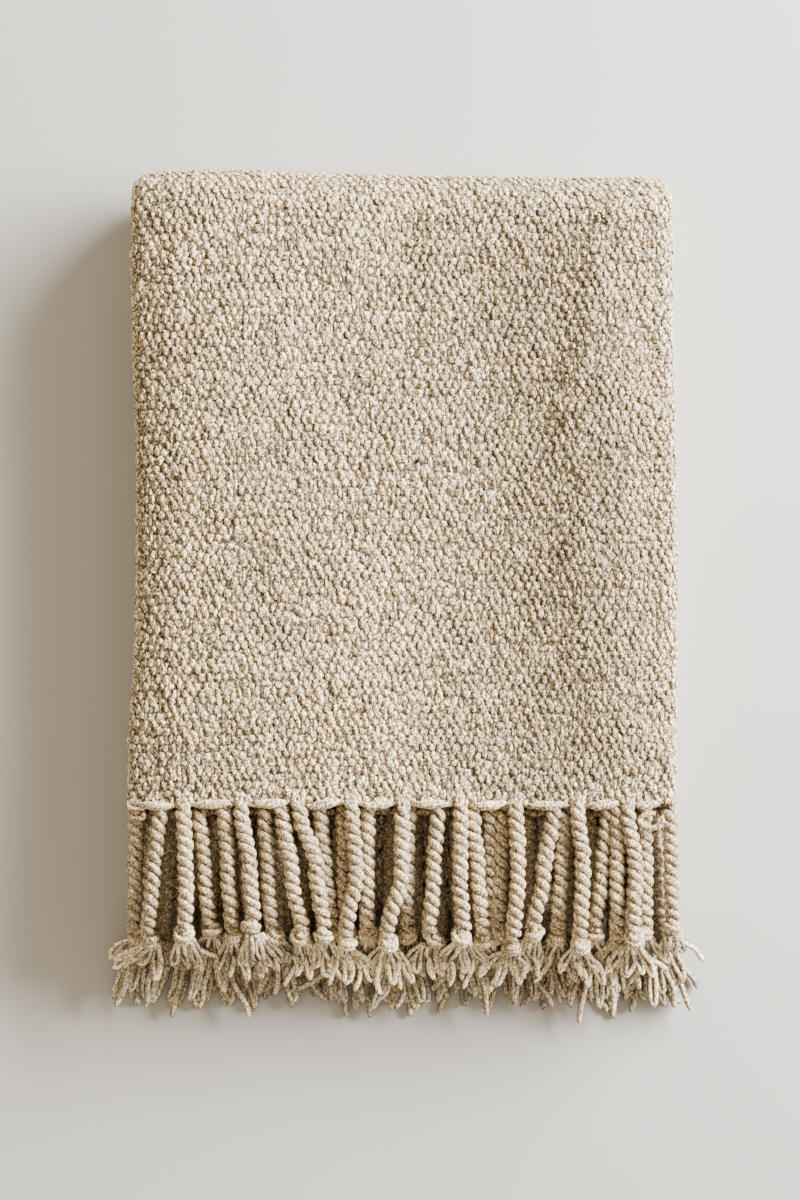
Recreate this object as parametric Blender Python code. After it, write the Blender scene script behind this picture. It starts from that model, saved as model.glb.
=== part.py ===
"""A woven chenille throw, folded in four across its width and in four along its length.

The cloth is one sheet. Its section across the width goes back and forth in four plies, and that
section is swept along a path that goes back and forth again, so sixteen plies lie on each other.
Each end of the cloth has a fringe of twisted ropes, knotted and with loose tails, on a narrow
hem strip. The front of the throw is towards -Y, its top is +Z, and it rests on z = 0.
"""

import math

import bmesh
import bpy
from mathutils import Matrix, Vector

# The cloth
PLY = 0.0032  # thickness of one ply of cloth
PLY_PITCH = 0.0037  # from ply to ply where four of them lie together
WIDTH = 0.327  # of the folded throw, from side to side
LIP_RADIUS = 0.011  # the top ply's own edge droops over the left side
LIP_ANGLE = math.radians(52)
LEFT_SETBACK = 0.008  # the plies under it end this much further in
PACK = 3 * PLY_PITCH + PLY  # four plies together
PACK_PITCH = 0.015
STACK = 3 * PACK_PITCH + PACK  # height of the whole throw

# The folds along the length, with the y of each
BACK_EDGE_Y = 0.252
FRONT_FOLD_Y = -0.1946
TOP_HEM_Y = -0.128
UNDER_HEM_Y = -0.134
HEM_STRIP = 0.0052
PARTING = 0.0003  # between the cloth's edge and the strip that carries the fringe

# The steps of the sheet
PLY_STEPS = 4
TOP_PLY_STEPS = 6
PLY_FOLD_STEPS = 4
RUN_STEPS = 5
PACK_FOLD_STEPS = 6

# The ropes of the fringe
ROPE_HALF_HEIGHT = 0.00403  # half the diagonal of its four-sided section
ROPE_SPREAD = 1.14  # a rope lies a little wider than high
ROPE_LEVEL_PITCH = 0.0084  # from one layer of ropes to the next
LOWEST_ROPE_Z = 0.0340
ROOT_HALF_SIZE = (0.0026, 0.0011)
ROOT_DEPTH = 0.0026  # how far a rope's root is let into the strip
ROOT_END = 0.0006  # and how far this slim root reaches out of it
TWIST_START = 0.007
MIDDLE_AT = 0.040  # distance along a rope at which its middle_x holds
KNOT_HALF_LENGTH = 0.006
KNOT_HALF_SIZE = (0.0056, 0.0040)
TWIST_STEP = math.radians(60)
TOP_TWIST_STEPS = 11
LOWER_TWIST_STEPS = 6
TAIL_HALF_THICKNESS = 0.0025
TAIL_BEND_RADIUS = 0.033  # in which the lowest ropes turn back to lie on the floor
TAIL_LENGTH = 0.040

# The top row: where each rope starts, bends and is knotted, and how far along it the knot is
TOP_ROPES = (
    # root_x, middle_x, knot_x, knot_at, tail_half_width
    (-0.134, -0.130, -0.129, 0.077, 0.0085),
    (-0.098, -0.092, -0.089, 0.073, 0.0080),
    (-0.062, -0.052, -0.047, 0.080, 0.0100),
    (-0.032, -0.028, -0.034, 0.086, 0.0110),
    (-0.001, -0.001, -0.009, 0.085, 0.0080),
    (0.034, 0.034, 0.037, 0.079, 0.0110),
    (0.067, 0.069, 0.067, 0.088, 0.0095),
    (0.104, 0.108, 0.107, 0.085, 0.0120),
    (0.134, 0.139, 0.139, 0.080, 0.0085),
)
# The row below it, from the three plies under the top one
SECOND_TAIL = 0.0046
SECOND_ROPES = (
    # root_x, knot_x, knot_at
    (-0.150, -0.158, 0.080),
    (-0.140, -0.147, 0.083),
    (-0.122, -0.115, 0.076),
    (-0.109, -0.102, 0.080),
    (-0.098, -0.090, 0.078),
    (-0.083, -0.078, 0.080),
    (-0.068, -0.062, 0.076),
    (-0.052, -0.049, 0.082),
    (-0.036, -0.035, 0.078),
    (-0.022, -0.021, 0.080),
    (0.003, 0.003, 0.081),
    (0.022, 0.019, 0.083),
    (0.041, 0.045, 0.080),
    (0.052, 0.055, 0.078),
    (0.063, 0.066, 0.082),
    (0.089, 0.081, 0.077),
    (0.100, 0.095, 0.082),
    (0.123, 0.117, 0.079),
    (0.134, 0.130, 0.084),
    (0.144, 0.147, 0.078),
    (0.154, 0.159, 0.080),
)
# The fringe of the under hem is evenly spread
UNDER_ROWS = (
    # level, count, tail_half_width
    (1, 9, 0.0070),
    (0, 24, 0.0050),
)
UNDER_KNOT_AT = 0.088
UNDER_UNEVEN = 0.003
UNDER_SWAY = 0.002
UNDER_WAVE = 55.0  # radians per metre across the throw
ROPE_REACH_X = 0.150  # from the middle to the outermost roots
SIDE_SPREAD = 1.045  # the ropes fan out this much towards the sides

# How unevenly the throw lies: two soft ridges along it, a left side that droops, a skewed back
TOP_RELIEF = 0.026  # share of the height
LEFT_RIDGE_X = -0.120
RIDGE_WAVE = math.tau / 0.245  # the second ridge is this far to the right of the first
LONG_WAVE = math.tau / 0.45
LEFT_DROOP = 0.060  # share of the height
DROOP_REACH = 0.030
SIDE_WAVER = 0.0015
EDGE_WAVER = 0.0008
BACK_SKEW = 0.013

CLOTH_COLOUR = (0.52, 0.43, 0.32, 1.0)
ROPE_COLOUR = (0.47, 0.38, 0.28, 1.0)


def clear_scene():
    for obj in list(bpy.data.objects):
        bpy.data.objects.remove(obj)


def smooth(t):
    t = min(max(t, 0.0), 1.0)
    return t * t * (3 - 2 * t)


def straight(start, end, steps):
    """Stations (point, left-hand normal) along a straight run in a plane."""
    start, end = Vector(start), Vector(end)
    along = (end - start).normalized()
    normal = Vector((-along.y, along.x))
    return [(start.lerp(end, i / steps), normal) for i in range(steps + 1)]


def turn(centre, radius, first, last, steps):
    """Stations round an arc, from one angle in degrees to another."""
    side = -1 if last > first else 1
    stations = []
    for i in range(steps + 1):
        angle = math.radians(first + (last - first) * i / steps)
        out = Vector((math.cos(angle), math.sin(angle)))
        stations.append((Vector(centre) + out * radius, out * side))
    return stations


def joined(*runs):
    stations = list(runs[0])
    for run in runs[1:]:
        stations += run[1:]
    return stations


def ply_section():
    """The cloth's closed section across its width: four plies, as (x, height in the pack)."""
    half, top, inner = WIDTH / 2, 1.5 * PLY_PITCH, 0.5 * PLY_PITCH
    fold_x = half - top - PLY / 2
    left_x = -half + LEFT_SETBACK + inner + PLY / 2
    lip_x = -half + LIP_RADIUS * math.sin(LIP_ANGLE) + PLY / 2
    centre_line = joined(
        turn((lip_x, top - LIP_RADIUS), LIP_RADIUS, 90 + math.degrees(LIP_ANGLE), 90, 3),
        straight((lip_x, top), (fold_x, top), TOP_PLY_STEPS),
        turn((fold_x, 0), top, 90, -90, PLY_FOLD_STEPS),
        straight((fold_x, -top), (left_x, -top), PLY_STEPS),
        turn((left_x, -PLY_PITCH), inner, -90, -270, PLY_FOLD_STEPS),
        straight((left_x, -inner), (fold_x, -inner), PLY_STEPS),
        turn((fold_x, 0), inner, -90, 90, PLY_FOLD_STEPS),
        straight((fold_x, inner), (-half + LEFT_SETBACK, inner), PLY_STEPS),
    )
    upper = [point + normal * PLY / 2 for point, normal in centre_line]
    lower = [point - normal * PLY / 2 for point, normal in centre_line]
    return upper + lower[::-1]


def pack_height(pack):
    """Height of the middle of a pack of four plies, where 0 is the lowest pack."""
    return PACK / 2 + pack * PACK_PITCH


def length_path():
    """The path in (y, z) from the top hem, round both back folds and the front fold, to the under hem."""
    outer, inner = 1.5 * PACK_PITCH, 0.5 * PACK_PITCH
    back_y = BACK_EDGE_Y - outer - PACK / 2
    front_y = FRONT_FOLD_Y + inner + PACK / 2
    middle = pack_height(1.5)
    low, second, third, high = (pack_height(pack) for pack in range(4))
    run_start = TOP_HEM_Y + HEM_STRIP + PARTING
    run_end = UNDER_HEM_Y + HEM_STRIP + PARTING
    return joined(
        straight((run_start, high), (back_y, high), RUN_STEPS),
        turn((back_y, middle), outer, 90, -90, PACK_FOLD_STEPS),
        straight((back_y, low), (front_y, low), RUN_STEPS),
        turn((front_y, pack_height(0.5)), inner, -90, -270, PACK_FOLD_STEPS),
        straight((front_y, second), (back_y, second), RUN_STEPS),
        turn((back_y, middle), inner, -90, 90, PACK_FOLD_STEPS),
        straight((back_y, third), (run_end, third), RUN_STEPS),
    )


def settle(point):
    """Moves a point of the even, folded throw to where it lies, softly uneven. The floor stays flat."""
    x, y, z = point
    rise = z / STACK
    ridges = math.cos(RIDGE_WAVE * (x - LEFT_RIDGE_X)) * (1 + 0.3 * math.sin(LONG_WAVE * y))
    droop = LEFT_DROOP * smooth(1 - (x + WIDTH / 2) / DROOP_REACH) * smooth(rise)
    side = SIDE_WAVER * math.sin(LONG_WAVE * y + 2 * rise)
    edge = EDGE_WAVER * math.sin(RIDGE_WAVE * x + 3 * rise) - BACK_SKEW * x * smooth(y / BACK_EDGE_Y)
    return Vector((x + side * rise, y + edge * rise, z * (1 + TOP_RELIEF * ridges - droop)))


def material(name, colour, roughness):
    made = bpy.data.materials.new(name)
    made.use_nodes = True
    shader = made.node_tree.nodes["Principled BSDF"]
    shader.inputs["Base Color"].default_value = colour
    shader.inputs["Roughness"].default_value = roughness
    shader.inputs["Metallic"].default_value = 0.0
    return made


def poly_curve(name, points, cyclic, dimensions):
    curve = bpy.data.curves.new(name, "CURVE")
    curve.dimensions = dimensions
    spline = curve.splines.new("POLY")
    spline.points.add(len(points) - 1)
    for target, point in zip(spline.points, points):
        target.co = (*point, 1.0)
    spline.use_cyclic_u = cyclic
    obj = bpy.data.objects.new(name, curve)
    bpy.context.scene.collection.objects.link(obj)
    return obj


def swept_section(name, section, path):
    """The ribbon's closed section swept along a path in the YZ plane, its ends closed between its sides."""
    profile = poly_curve(name + "_section", [(x, h, 0) for x, h in section], True, "2D")
    sweep = poly_curve(name + "_path", [(0, y, z) for y, z in path], False, "3D")
    sweep.data.bevel_mode = "OBJECT"
    sweep.data.bevel_object = profile
    bpy.context.view_layer.update()
    graph = bpy.context.evaluated_depsgraph_get()
    mesh = bpy.data.meshes.new_from_object(sweep.evaluated_get(graph))
    bpy.data.objects.remove(sweep)
    bpy.data.objects.remove(profile)
    ended = bmesh.new()
    ended.from_mesh(mesh)
    ended.verts.ensure_lookup_table()
    count = len(section)
    for ring in (ended.verts[:count], ended.verts[-count:]):
        for i in range(count // 2 - 1):
            ended.faces.new((ring[i], ring[i + 1], ring[-i - 2], ring[-i - 1]))
    ended.to_mesh(mesh)
    ended.free()
    return finished_mesh(name, mesh)


def finished_mesh(name, mesh):
    """Welds a mesh, lets it settle and turns its faces outwards."""
    cleaned = bmesh.new()
    cleaned.from_mesh(mesh)
    bmesh.ops.remove_doubles(cleaned, verts=cleaned.verts, dist=0.00001)
    for vert in cleaned.verts:
        vert.co = settle(vert.co)
    bmesh.ops.recalc_face_normals(cleaned, faces=cleaned.faces)
    cleaned.to_mesh(mesh)
    cleaned.free()
    mesh.name = name
    mesh.materials.clear()
    mesh.shade_smooth()
    mesh.set_sharp_from_angle(angle=math.radians(35))
    return mesh


def placed(name, mesh, collection, finish):
    obj = bpy.data.objects.new(name, mesh)
    mesh.materials.append(finish)
    collection.objects.link(obj)
    return obj


def drape(distance, level, hem_y):
    """(y, z, direction) of a rope this far from its hem: level, down over the front fold, level again."""
    fold_y = FRONT_FOLD_Y + 0.5 * PACK_PITCH + PACK / 2
    fold_z = pack_height(0.5)
    lowest_radius = LOWEST_ROPE_Z - fold_z
    radius = lowest_radius + level * ROPE_LEVEL_PITCH
    bend = TAIL_BEND_RADIUS - level * ROPE_LEVEL_PITCH
    reach = lowest_radius + TAIL_BEND_RADIUS
    angle = math.acos((TAIL_BEND_RADIUS - fold_z + TAIL_HALF_THICKNESS) / reach)
    over_pack = hem_y - fold_y
    if distance < over_pack:
        return hem_y - distance, fold_z + radius, 0.0
    distance -= over_pack
    if distance < radius * angle:
        at = distance / radius
        return fold_y - radius * math.sin(at), fold_z + radius * math.cos(at), at
    distance -= radius * angle
    bend_y = fold_y - reach * math.sin(angle)
    bend_z = fold_z + reach * math.cos(angle)
    if distance < bend * angle:
        at = angle - distance / bend
        return bend_y + bend * math.sin(at), bend_z - bend * math.cos(at), at
    distance -= bend * angle
    return bend_y - distance, bend_z - bend, 0.0


def rope_stations(knot_at, tail_half_width, steps, knotted):
    """Rows of (distance along the rope, half width, half height, turn), where a flat section has no turn."""
    width = ROPE_HALF_HEIGHT * ROPE_SPREAD
    rows = [(-ROOT_DEPTH, *ROOT_HALF_SIZE, None), (ROOT_END, *ROOT_HALF_SIZE, None)]
    last = knot_at - KNOT_HALF_LENGTH
    for i in range(steps + 1):
        at = TWIST_START + (last - TWIST_START) * i / steps
        rows.append((at, width, ROPE_HALF_HEIGHT, i * TWIST_STEP))
    if knotted:
        rows.append((knot_at, *KNOT_HALF_SIZE, None))
        rows.append((knot_at + KNOT_HALF_LENGTH, width, ROPE_HALF_HEIGHT, None))
    rows.append((knot_at + TAIL_LENGTH / 2, tail_half_width, TAIL_HALF_THICKNESS, None))
    rows.append((knot_at + TAIL_LENGTH, tail_half_width, TAIL_HALF_THICKNESS, None))
    return rows


def ring_corners(half_width, half_height, twist):
    """Four corners: of a flat section, or of one that is turned by the twist of the rope."""
    if twist is None:
        return [(half_width * a, half_height * b) for a, b in ((1, 1), (-1, 1), (-1, -1), (1, -1))]
    angles = [math.radians(45 + 90 * corner) + twist for corner in range(4)]
    return [(half_width * math.cos(a), half_height * math.sin(a)) for a in angles]


def rope_rings(level, hem_y, root_z, xs, stations):
    """The four corners of a rope at each station from its root in the hem to the end of its tail."""
    root_x, middle_x, knot_x = xs
    level_z = drape(0, level, hem_y)[1]
    rings = []
    for at, half_width, half_height, twist in stations:
        bend, knee = smooth(at / MIDDLE_AT), smooth(at / MIDDLE_AT - 1)
        x = root_x + (middle_x - root_x) * bend + (knot_x - middle_x) * knee
        y, z, direction = drape(max(at, 0.0), level, hem_y)
        y -= min(at, 0.0)
        z += (root_z - level_z) * (1 - smooth((at - ROOT_END) / (TWIST_START - ROOT_END)))
        up = Matrix.Rotation(direction, 3, "X") @ Vector((0, 0, 1))
        corners = ring_corners(half_width, half_height, twist)
        rings.append([Vector((x + across, y, z)) + up * over for across, over in corners])
    return rings


def rope_mesh(name, ropes):
    """All the ropes of one fringe, each a loft through its rings with both ends closed."""
    made = bmesh.new()
    for rings in ropes:
        rows = [[made.verts.new(corner) for corner in ring] for ring in rings]
        for here, after in zip(rows, rows[1:]):
            for i in range(4):
                made.faces.new((here[i], here[(i + 1) % 4], after[(i + 1) % 4], after[i]))
        made.faces.new(rows[0][::-1])
        made.faces.new(rows[-1])
    mesh = bpy.data.meshes.new(name)
    made.to_mesh(mesh)
    made.free()
    return finished_mesh(name, mesh)


def top_fringe_ropes():
    packs_middle = pack_height(3)
    ply_z = [packs_middle + (1.5 - ply) * PLY_PITCH for ply in range(4)]
    ropes = []
    for root_x, middle_x, knot_x, knot_at, tail in TOP_ROPES:
        xs = (root_x, middle_x, knot_x)
        stations = rope_stations(knot_at, tail, TOP_TWIST_STEPS, True)
        ropes.append(rope_rings(3, TOP_HEM_Y, ply_z[0], xs, stations))
    for i, (root_x, knot_x, knot_at) in enumerate(SECOND_ROPES):
        xs = (root_x, (root_x + knot_x) / 2, knot_x)
        stations = rope_stations(knot_at, SECOND_TAIL, LOWER_TWIST_STEPS, True)
        ropes.append(rope_rings(2, TOP_HEM_Y, ply_z[1 + i % 3], xs, stations))
    return ropes


def under_fringe_ropes():
    packs_middle = pack_height(2)
    ply_z = [packs_middle + (1.5 - ply) * PLY_PITCH for ply in range(4)]
    ropes = []
    for level, count, width in UNDER_ROWS:
        for i in range(count):
            root_x = ROPE_REACH_X * (2 * i / (count - 1) - 1)
            knot_x = root_x * SIDE_SPREAD + UNDER_SWAY * math.sin(UNDER_WAVE * root_x)
            xs = (root_x, (root_x + knot_x) / 2, knot_x)
            root_z = ply_z[0] if level else ply_z[1 + i % 3]
            knot_at = UNDER_KNOT_AT + UNDER_UNEVEN * math.cos(UNDER_WAVE * root_x)
            stations = rope_stations(knot_at, width, LOWER_TWIST_STEPS, False)
            ropes.append(rope_rings(level, UNDER_HEM_Y, root_z, xs, stations))
    return ropes


def hem_with_fringe(name, hem_y, pack, upside, ropes, finish, parts, helpers):
    """A narrow strip of the folded hem with its ropes joined to it."""
    section = [Vector((point.x, point.y * upside)) for point in ply_section()]
    height = pack_height(pack)
    path = [(hem_y, height), (hem_y + HEM_STRIP, height)]
    strip = placed(name, swept_section(name, section, path), parts, finish)
    strands = placed(name + "_ropes", rope_mesh(name + "_ropes", ropes), helpers, finish)
    strands.hide_render = True
    strands.display_type = "WIRE"
    union = strip.modifiers.new("ropes", "BOOLEAN")
    union.operation = "UNION"
    union.object = strands
    return strip


def main():
    clear_scene()
    parts = bpy.data.collections.new("chenille_throw")
    helpers = bpy.data.collections.new("chenille_throw_helpers")
    for collection in (parts, helpers):
        bpy.context.scene.collection.children.link(collection)
    cloth_finish = material("chenille_cloth", CLOTH_COLOUR, 0.85)
    rope_finish = material("chenille_rope", ROPE_COLOUR, 0.85)
    path = [point for point, _ in length_path()]
    placed("cloth", swept_section("cloth", ply_section(), path), parts, cloth_finish)
    hem_with_fringe(
        "fringe_top", TOP_HEM_Y, 3, 1, top_fringe_ropes(), rope_finish, parts, helpers
    )
    hem_with_fringe(
        "fringe_under", UNDER_HEM_Y, 2, -1, under_fringe_ropes(), rope_finish, parts, helpers
    )


main()
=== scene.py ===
"""Dresses the folded chenille throw: its weave, hem, twisted ropes, knots, yarn tails and finishes.

The throw lies on z = 0 with its fringe towards -Y and its folded right side towards +X. The
sheet is folded by the same sizes as the solid under it, and every yarn is placed on that sheet.
"""

import math
import random

import bmesh
import bpy
from bpy.props import FloatProperty, FloatVectorProperty, IntProperty, PointerProperty
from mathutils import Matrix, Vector


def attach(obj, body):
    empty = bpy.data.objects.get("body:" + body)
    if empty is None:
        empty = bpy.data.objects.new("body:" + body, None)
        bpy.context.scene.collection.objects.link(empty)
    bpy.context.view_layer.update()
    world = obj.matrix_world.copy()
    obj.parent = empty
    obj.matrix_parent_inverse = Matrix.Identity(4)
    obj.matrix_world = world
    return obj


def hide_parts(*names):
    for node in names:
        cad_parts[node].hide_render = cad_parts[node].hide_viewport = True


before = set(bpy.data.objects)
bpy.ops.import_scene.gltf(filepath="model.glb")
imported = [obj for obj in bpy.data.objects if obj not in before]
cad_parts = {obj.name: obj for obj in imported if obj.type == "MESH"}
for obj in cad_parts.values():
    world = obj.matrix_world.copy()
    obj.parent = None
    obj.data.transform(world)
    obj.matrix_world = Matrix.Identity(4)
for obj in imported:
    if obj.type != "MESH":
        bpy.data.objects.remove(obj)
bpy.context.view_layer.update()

bl_info = {
    "name": "Folded chenille throw",
    "version": (1, 0, 0),
    "blender": (4, 5, 0),
    "location": "3D View > Sidebar > Throw",
    "description": "Weave, hem, ropes, knots and tails of a folded chenille throw",
    "category": "Add Mesh",
}

# The folded sheet, in metres, as its solid is folded
PLY = 0.0032
PLY_PITCH = 0.0037
WIDTH = 0.327
LIP_RADIUS = 0.011
LIP_DEGREES = 52
LEFT_SETBACK = 0.008
PACK = 3 * PLY_PITCH + PLY
PACK_PITCH = 0.015
STACK = 3 * PACK_PITCH + PACK
BACK_EDGE_Y = 0.252
FRONT_FOLD_Y = -0.1946
TOP_HEM_Y = -0.128
UNDER_HEM_Y = -0.134

# How unevenly it lies: two ridges along it, a drooping left side and a skewed back
TOP_RELIEF = 0.026
LEFT_RIDGE_X = -0.120
RIDGE_WAVE = math.tau / 0.245
LONG_WAVE = math.tau / 0.45
LEFT_DROOP = 0.060
DROOP_REACH = 0.030
SIDE_WAVER = 0.0015
EDGE_WAVER = 0.0008
BACK_SKEW = 0.013
# The outline seen from above, a few millimetres off the even one
BACK_STANDS = 0.0018  # how far the whole back edge stands out
BACK_BULGE = (-0.105, 0.045, 0.0029)  # x of its middle, half width, how much further it stands out
CORNER_REACH = 0.0150
CORNER_DROPS = (0.0018, 0.0060)  # how far the back corners are rounded off, left and right
LEFT_FLARE = 0.0036  # how far the left edge stands out towards the fringe
LEFT_HOLLOW = (0.085, 0.050, 0.0015)  # y of its middle, half length, how far it draws in

# Soft creases of the top ply, each a line with a half width and a height, where a trough is negative
CREASES = (
    # start x, start y, end x, end y, half width, height
    (0.050, 0.215, 0.058, -0.070, 0.030, -0.0017),
    (0.128, 0.225, 0.122, 0.120, 0.020, 0.0022),
    (0.122, 0.120, 0.128, -0.080, 0.021, 0.0026),
    (0.116, 0.200, 0.098, 0.104, 0.011, 0.0016),
    (0.098, 0.104, 0.110, -0.045, 0.011, 0.0014),
    (-0.004, 0.240, 0.002, 0.150, 0.020, -0.0020),
    (-0.105, 0.200, -0.100, -0.070, 0.034, 0.0016),
    (-0.088, 0.020, -0.084, -0.030, 0.012, -0.0014),
    (-0.060, 0.170, -0.035, 0.110, 0.016, -0.0012),
    (-0.030, 0.010, -0.024, -0.090, 0.018, 0.0014),
)
# Painted light and shade: soft patches where the top ply's pile is painted brighter or darker, standing in
# for how its soft relief catches the light
PAINTED_LIGHT_PATCHES = (
    # x, y, half width, half length, share of a yarn's tone
    (-0.026, -0.070, 0.036, 0.110, 1.00),
    (-0.159, 0.030, 0.010, 0.300, -0.55),
    (-0.105, 0.205, 0.050, 0.050, 0.30),
    (-0.030, 0.190, 0.060, 0.060, 0.35),
    (-0.124, -0.020, 0.022, 0.100, 0.60),
    (0.088, 0.040, 0.036, 0.170, -0.95),
    (0.122, 0.060, 0.020, 0.130, -0.75),
    (0.095, -0.105, 0.045, 0.045, -0.45),
    (-0.112, -0.120, 0.018, 0.016, -0.60),
    (0.070, 0.180, 0.060, 0.050, -0.60),
    (-0.090, 0.010, 0.011, 0.012, -0.80),
)
CREASE_DEPTH = 0.016  # how far down into the stack a crease fades out
FRONT_PAINTED_LIGHT = 1.5  # painted light on the front fold's pile under the ropes

# The ropes of the fringe, level by level
ROPE_LEVEL_PITCH = 0.0084
LOWEST_ROPE_Z = 0.0340
ROOT_REACH = 0.007  # a rope reaches its own level this far from the hem
MIDDLE_AT = 0.040  # the middle of a rope's way, from the hem
TAIL_HALF_THICKNESS = 0.0025
TAIL_BEND_RADIUS = 0.033
TOP_LEVEL, SECOND_LEVEL = 3, 2
LEVEL_PAINTED_SHADES = (-0.45, -0.40, -0.10, 0.35)  # painted shade of the ropes' pile, darker the deeper the level, lowest level first
TOP_ROPES = (
    # root_x, middle_x, knot_x, knot_at, tail yarns
    (-0.131, -0.129, -0.129, 0.077, 6),
    (-0.098, -0.092, -0.089, 0.073, 7),
    (-0.064, -0.052, -0.047, 0.080, 7),
    (-0.032, -0.028, -0.034, 0.086, 8),
    (-0.001, -0.001, -0.009, 0.085, 7),
    (0.034, 0.034, 0.037, 0.079, 8),
    (0.067, 0.069, 0.067, 0.088, 7),
    (0.104, 0.108, 0.107, 0.085, 8),
    (0.134, 0.139, 0.139, 0.080, 7),
)
SECOND_ROPES = (
    # root_x, knot_x, knot_at, how far it lies up towards the top ropes, as a share of a level
    (-0.158, -0.158, 0.080, 0.0),
    (-0.1435, -0.150, 0.083, 0.7),
    (-0.122, -0.115, 0.076, 0.2),
    (-0.108, -0.102, 0.080, 0.6),
    (-0.098, -0.090, 0.078, 0.0),
    (-0.084, -0.078, 0.080, 0.3),
    (-0.074, -0.060, 0.080, 0.8),
    (-0.051, -0.042, 0.079, 0.2),
    (-0.036, -0.035, 0.078, 0.0),
    (-0.022, -0.021, 0.080, 0.3),
    (0.003, 0.003, 0.081, 0.0),
    (0.0206, 0.0166, 0.083, 0.7),
    (0.041, 0.049, 0.083, 0.5),
    (0.052, 0.055, 0.078, 0.0),
    (0.060, 0.058, 0.080, 0.2),
    (0.0906, 0.078, 0.077, 0.7),
    (0.0965, 0.094, 0.082, 0.3),
    (0.123, 0.116, 0.079, 0.3),
    (0.128, 0.1296, 0.084, 0.6),
    (0.1446, 0.1468, 0.078, 0.4),
    (0.1600, 0.1630, 0.074, 0.3),
)
SECOND_YARNS = 6  # in each tail
UNDER_ROWS = ((1, 9), (0, 24))  # level, count
UNDER_FULLNESS = 1.22  # how much thicker the strands of the under ropes are
LOWEST_LOOSENESS = 0.16  # how much thicker still the lowest get towards their knots
UNDER_KNOT_AT = 0.088
UNDER_UNEVEN = 0.003
UNDER_SWAY = 0.002
UNDER_WAVE = 55.0
ROPE_REACH_X = 0.150
SIDE_SPREAD = 1.045
TAIL_LEANS = (0.34, 0.18)  # radians that the outermost tails lean outwards, left and right
LOOP_THICKNESS = [0.70, 0.85, 0.90, 0.90, 0.90, 0.90, 0.90, 0.85, 0.70]
CUT_THICKNESS = [0.75, 0.90, 1.00, 1.00, 1.00, 1.00, 1.00, 0.95, 0.40]
BUNDLE_HALF_WIDTH = 0.0042
BUNDLE_HEIGHT = 0.0026
KNOT_LIFT = 0.0028  # how far a knot's middle is over its rope's
KNOT_HALF_LENGTH = 0.0034
KNOT_TURNS = (2.2, 2.8)  # at least, at most
KNOT_REACH = (0.0022, 0.0020)  # of its strand from its middle at its ends, and how much further halfway
KNOT_CORE = (0.9, 1.45, 1.7, 1.45, 0.9)  # how thick the strand is inside a knot, along it
KNOT_CORE_HALF_LENGTH = 0.0046
TAIL_START = 0.0062  # past the middle of its knot
TAIL_REACH = (0.62, 1.0)  # at least, at most, as a share of the tails' length
TAIL_CURL = 0.34
TAIL_SWAY = 0.0018
TAIL_LIFT = (-0.0006, 0.0034)  # at least, at most
TAIL_LOOP_HALF_WIDTH = 0.0022
TAIL_PAINTED_LIGHT = (0.45, 1.35)  # painted light on the tails: those of the under ropes, those of the upper ones

# The hem's thick weft: its ends, its sag and slope from rope to rope, and where it turns back
HEM_ENDS = (-0.160, 0.157)
HEM_SAG = (0.0006, 0.0020)
HEM_SLOPE = (0.0018, 0.0014)  # its mean and how much it differs
HIDDEN_HEM_ENDS = (-0.150, 0.154)
HEM_LOOPS = (
    # x, y, half width, half length, depth under the top
    (-0.1578, -0.1275, 0.0050, 0.0026, 0.0004),
    (-0.1572, -0.1335, 0.0042, 0.0024, 0.0016),
    (0.1480, -0.1375, 0.0068, 0.0043, -0.0030),
)

# The yarns along the selvedges, and those that gather into the ropes
SELVEDGE_TURN = 0.00465  # from one turn of the weft to the next
SELVEDGE_IN = 0.0006  # the middle of those turns from the cloth's edge
GATHERED_FROM = (-0.0100, -0.0060)  # where the yarns that gather into a rope start, from its hem

# The steps of the ground sheet, for each run and fold across and along
GROUND_ACROSS = (4, 64, 8, 14, 6, 14, 6, 14)
GROUND_ALONG = (64, 14, 34, 10, 30, 8, 20)
GROUND_TOP = 0.0007  # the ground's faces from the middle of the ply, under the warp floats
GROUND_UNDER = -0.0012

# Where warp floats are real: pieces across (first, last), pieces along (first, last)
WEAVE_REGIONS = {
    "weave_top": (((0, 2), (0, 0)),),
    "weave_back": (((0, 2), (1, 1)),),
    "weave_front": (((0, 2), (3, 3)), ((0, 1), (4, 4))),
    "weave_sides": (((2, 2), (2, 2)), ((2, 2), (4, 6)), ((4, 4), (0, 6))),
}
FRONT_REACH = 0.066  # how much of the front fold's upper run is seen under the ropes

# How unevenly the floats lie
WARP_WAVER = 0.0009
FLOAT_DRIFT = (0.00040, 0.00080)  # across and along
FLOAT_LEAN = 0.14
FLOAT_SUNK = (0.42, 0.09)  # how deep its middle lies, as a share of its height, and how much that differs

# The pile: how closely its roughness is spaced, and how deep it is
FLOAT_PILE = (900.0, 0.0007)
YARN_PILE = (800.0, 0.0007)
ROPE_PILE = (560.0, 0.0010)
LOWEST_PILE = 0.0001  # over the floor
GROUND_SHADE = 0.90  # of the ground's colours, as a share of the floats'
FRINGE_GROOVE_SHADE = 0.6

# What the node groups' sockets hold, other than numbers
SOCKET_KINDS = {
    "Geometry": "Geometry",
    "Material": "Material",
    "Size": "Vector",
    "Vector": "Vector",
    "Seed": "Int",
    "Sides": "Int",
    "Pile": "Color",
    "Glint": "Color",
    "Groove": "Color",
    "Color": "Color",
}

# The soft light at the right, as seen from the middle of the throw
KEY_AZIMUTH, KEY_ELEVATION = math.radians(29), math.radians(24.5)
KEY_AWAY = 1.9
FLOOR_SIDE = 8.0

# The photograph's frame
PIXEL = 0.0006  # metres a pixel at the top of the throw
PHOTO_WIDE, PHOTO_HIGH = 800, 1200
CENTRE_X_PIXEL, CENTRE_Y_PIXEL = 404, 592  # where x = 0 and y = 0 lie in it
CAMERA_ABOVE = 2.0  # from the top of the throw
SENSOR = 36.0


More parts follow.
